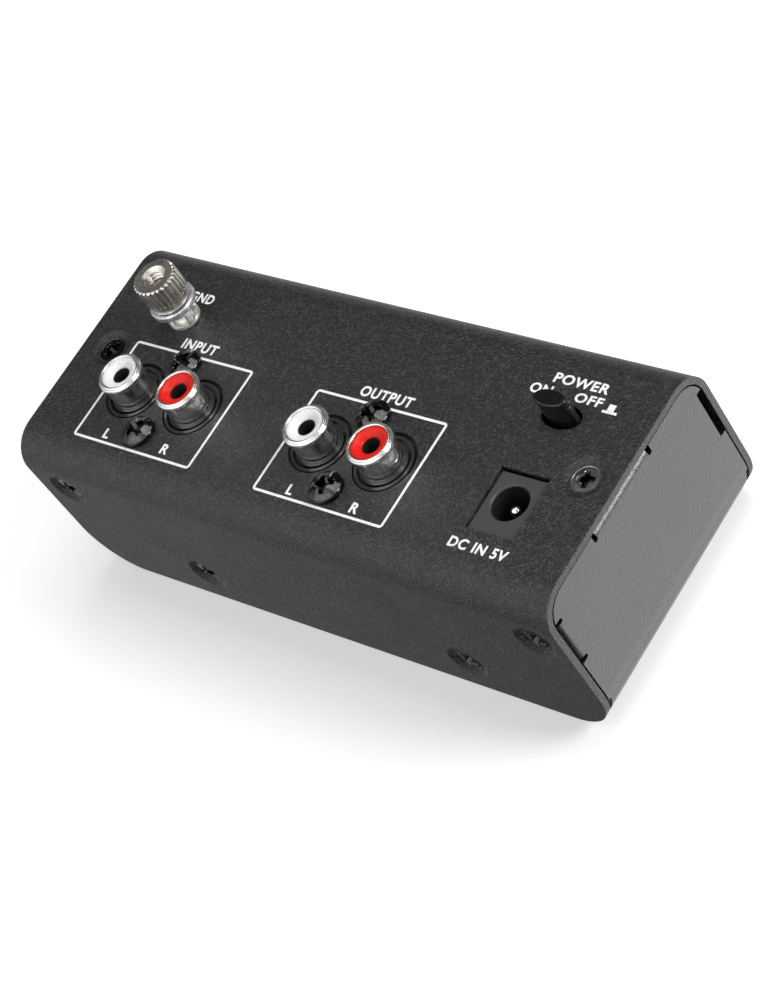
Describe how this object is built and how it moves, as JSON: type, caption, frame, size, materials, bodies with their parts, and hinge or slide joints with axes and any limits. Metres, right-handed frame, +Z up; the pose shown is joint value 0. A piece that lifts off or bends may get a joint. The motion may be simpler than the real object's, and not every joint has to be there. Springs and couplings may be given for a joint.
{
  "type": "phono preamp",
  "caption": "Small two-piece folded sheet metal case with phono jacks, a supply socket, a push button and a knurled ground post on one panel.",
  "frame": {"origin": "centre of the bottom face of the case, without the post, jacks and button that stand out", "axes": "+Z up; the connector panel faces -Y; +X is to the right seen from the connector panel's side"},
  "size_m": [0.118, 0.0461, 0.0478],
  "materials": {
    "coated_sheet": "black powder coat with a fine texture",
    "rear_screw": "blackened steel, worn to a bright edge",
    "black_screw": "black, glossy",
    "brass": "bright",
    "steel": "zinc plated",
    "board": "solder mask",
    "black_moulding": "fine matt",
    "nickel": "nickel plated",
    "white_insulator": "smooth",
    "red_insulator": "smooth",
    "contact": "tinned",
    "button_cap": "fine matt",
    "plunger": "natural",
    "post": "nickel plated",
    "zinc_washer": "zinc plated",
    "thumb_nut": "nickel plated, worn",
    "wire": "insulation",
    "lamp": "clear tinted",
    "chip": "moulded",
    "can": "shrunk sleeve",
    "film_box": "moulded",
    "resistor": "lacquered"
  },
  "bodies": {
    "case": {"rear_shell": "coated_sheet", "front_shell": "coated_sheet", "rear_screws": "rear_screw", "end_screws": "black_screw", "spacer_screws": "black_screw", "board_spacers": "brass", "board_screws": "steel", "main_board": "board", "input_jack_housing": "black_moulding", "output_jack_housing": "black_moulding", "input_left_sleeve": "nickel", "input_right_sleeve": "nickel", "output_left_sleeve": "nickel", "output_right_sleeve": "nickel", "input_left_insulator": "white_insulator", "input_right_insulator": "red_insulator", "output_left_insulator": "white_insulator", "output_right_insulator": "red_insulator", "input_left_contact": "contact", "input_right_contact": "contact", "output_left_contact": "contact", "output_right_contact": "contact", "jack_screws": "black_screw", "supply_jack": "black_moulding", "supply_pin": "nickel", "supply_spring_contact": "contact", "riser_board": "board", "riser_pins": "contact", "switch_body": "black_moulding", "switch_spring": "steel", "ground_post": "post", "ground_lock_washer": "steel", "ground_hex_nuts": "brass", "ground_lug": "steel", "ground_wire": "wire", "power_lamp": "lamp", "left_op_amp": "chip", "right_op_amp": "chip", "voltage_converter": "chip", "filter_choke": "chip", "supply_diode": "chip", "left_film_capacitor": "film_box", "right_film_capacitor": "film_box", "left_input_capacitor": "can", "right_input_capacitor": "can", "left_output_capacitor": "can", "right_output_capacitor": "can", "supply_capacitor": "can", "rail_capacitor": "can", "left_gain_resistor": "resistor", "right_gain_resistor": "resistor", "left_load_resistor": "resistor", "right_load_resistor": "resistor"},
    "button": {"power_button": "button_cap", "switch_plunger": "plunger"},
    "washer": {"ground_washer": "zinc_washer"},
    "thumb_nut": {"ground_thumb_nut": "thumb_nut"}
  },
  "joints": [
    {"name": "power_button_press", "type": "slide", "parent": "case", "child": "button", "axis": [0, 1, 0], "range_m": [0, 0.0025], "stiffness_N_per_m": 400, "springref_m": -0.002, "deforming": ["switch_spring"]},
    {"name": "ground_washer_lift", "type": "slide", "parent": "case", "child": "washer", "axis": [0, -1, 0], "range_m": [0, 0.0021]},
    {"name": "ground_nut_turn", "type": "hinge", "parent": "washer", "child": "thumb_nut", "pos_m": [-0.0407, -0.02275, 0.0332], "axis": [0, -1, 0], "range_deg": [0, 1080]}
  ],
  "couplings": [
    {"joint": "ground_nut_turn", "follows": "ground_washer_lift", "rad_per_m": 8976}
  ]
}
